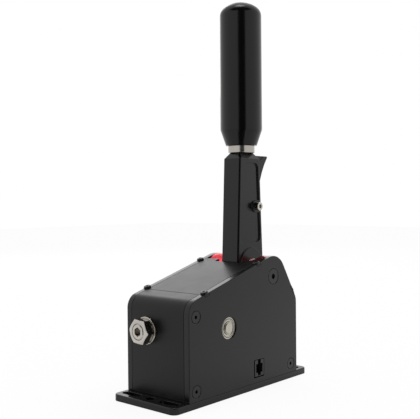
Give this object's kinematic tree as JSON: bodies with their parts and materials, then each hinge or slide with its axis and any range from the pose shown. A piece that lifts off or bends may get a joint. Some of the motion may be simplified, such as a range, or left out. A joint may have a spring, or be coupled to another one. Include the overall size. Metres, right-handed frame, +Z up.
{
  "type": "sim racing gear shifter",
  "caption": "Sequential gear shifter for sim racing: a tall lever with a round knob and a trigger on a plate-built black box.",
  "frame": {"origin": "middle of the base plate's underside", "axes": "+Z up, +X to the rear (away from the driver), -Y the driver's right, where the data socket is"},
  "size_m": [0.16, 0.0636, 0.3066],
  "materials": {
    "black_aluminium": "satin black anodised",
    "knob_black": "smooth satin black anodised",
    "red_aluminium": "red anodised",
    "bright_steel": "turned, bright",
    "bearing_steel": "ground and polished",
    "black_screws": "black oxide",
    "plain_steel": "machined",
    "spring_steel": "drawn wire",
    "bronze": "turned",
    "rubber": "matt",
    "black_plastic": "moulded, matt",
    "circuit_green": "solder mask"
  },
  "bodies": {
    "housing": {"base_plate": "black_aluminium", "base_screws": "black_screws", "side_plate_right": "black_aluminium", "side_plate_left": "black_aluminium", "side_plate_screws": "black_screws", "front_block": "black_aluminium", "rear_crossbar": "black_aluminium", "top_cover": "black_aluminium", "top_cover_screws": "black_screws", "rear_cover": "black_aluminium", "rear_cover_screws": "black_screws", "pivot_axle": "bright_steel", "pivot_screws": "black_screws", "pivot_drum_left": "red_aluminium", "pivot_drum_right": "red_aluminium", "pivot_washers": "bright_steel", "gate_ring": "plain_steel", "pivot_bearing_inner_rings": "bearing_steel", "shaft_bearing_outer_rings": "bearing_steel", "lock_nut": "bright_steel", "flange_washer": "bright_steel", "stop_bracket": "black_aluminium", "stop_bracket_screws": "black_screws", "bump_stops": "rubber", "circuit_board": "circuit_green", "board_standoffs": "bronze", "board_screws": "plain_steel", "socket_housing": "black_plastic", "socket_contacts": "bronze", "hall_sensors": "black_plastic", "processor_chip": "black_plastic"},
    "spring_seat": {"spring_seat": "plain_steel", "main_spring": "spring_steel"},
    "adjuster": {"adjuster_screw": "bright_steel"},
    "plunger": {"plunger": "plain_steel"},
    "crank": {"cross_shaft": "bright_steel", "crank": "plain_steel", "detent_cam": "plain_steel", "shaft_bearing_inner_rings": "bearing_steel", "shaft_spacers": "plain_steel", "set_screws": "black_screws", "magnet": "plain_steel", "crank_pin": "plain_steel", "crank_pin_clips": "plain_steel"},
    "lever": {"lever_body": "black_aluminium", "pivot_bearing_outer_rings": "bearing_steel", "arm_pin": "plain_steel", "arm_pin_clips": "plain_steel", "knob_stud": "plain_steel", "knob_collar": "bright_steel", "knob": "knob_black", "trigger_screw": "bright_steel"},
    "link": {"link_plate_left": "plain_steel", "link_plate_right": "plain_steel", "link_bushes": "bronze"},
    "trigger": {"trigger": "black_aluminium", "trigger_spring": "spring_steel"},
    "lockout_rod": {"lockout_rod": "plain_steel", "rod_cross_pin": "plain_steel", "rod_spring": "spring_steel"}
  },
  "joints": [
    {"name": "lever_pivot", "type": "hinge", "parent": "housing", "child": "lever", "pos_m": [0.0336, 0, 0.085], "axis": [0, 1, 0], "range_deg": [-8, 8], "stiffness_Nm_per_rad": 40},
    {"name": "crank_pivot", "type": "hinge", "parent": "housing", "child": "crank", "pos_m": [-0.0214, 0, 0.0515], "axis": [0, 1, 0], "range_deg": [-8.01, 8.01]},
    {"name": "link_pivot", "type": "hinge", "parent": "lever", "child": "link", "pos_m": [0.0336, 0, 0.057], "axis": [0, 1, 0], "range_deg": [-8.01, 8.01]},
    {"name": "trigger_pivot", "type": "hinge", "parent": "lever", "child": "trigger", "pos_m": [0.0415, 0, 0.1404], "axis": [0, -1, 0], "range_deg": [0, 7], "stiffness_Nm_per_rad": 1.5, "springref_deg": -5.73, "deforming": ["trigger_spring"]},
    {"name": "rod_lift", "type": "slide", "parent": "lever", "child": "lockout_rod", "axis": [0, 0, 1], "range_m": [0, 0.00282], "deforming": ["rod_spring"]},
    {"name": "seat_slide", "type": "slide", "parent": "housing", "child": "spring_seat", "axis": [1, 0, 0], "range_m": [-0.002, 0.002], "deforming": ["main_spring"]},
    {"name": "adjuster_turn", "type": "hinge", "parent": "spring_seat", "child": "adjuster", "pos_m": [-0.0745, 0.0103, 0.0515], "axis": [1, 0, 0], "range_deg": [-721, 721]},
    {"name": "plunger_slide", "type": "slide", "parent": "housing", "child": "plunger", "axis": [-1, 0, 0], "range_m": [0, 0.0012], "stiffness_N_per_m": 3000, "springref_m": -0.004}
  ],
  "couplings": [
    {"joint": "crank_pivot", "follows": "lever_pivot", "ratio": 1},
    {"joint": "link_pivot", "follows": "lever_pivot", "ratio": -1},
    {"joint": "rod_lift", "follows": "trigger_pivot", "m_per_rad": 0.023},
    {"joint": "adjuster_turn", "follows": "seat_slide", "rad_per_m": 6283.2}
  ]
}
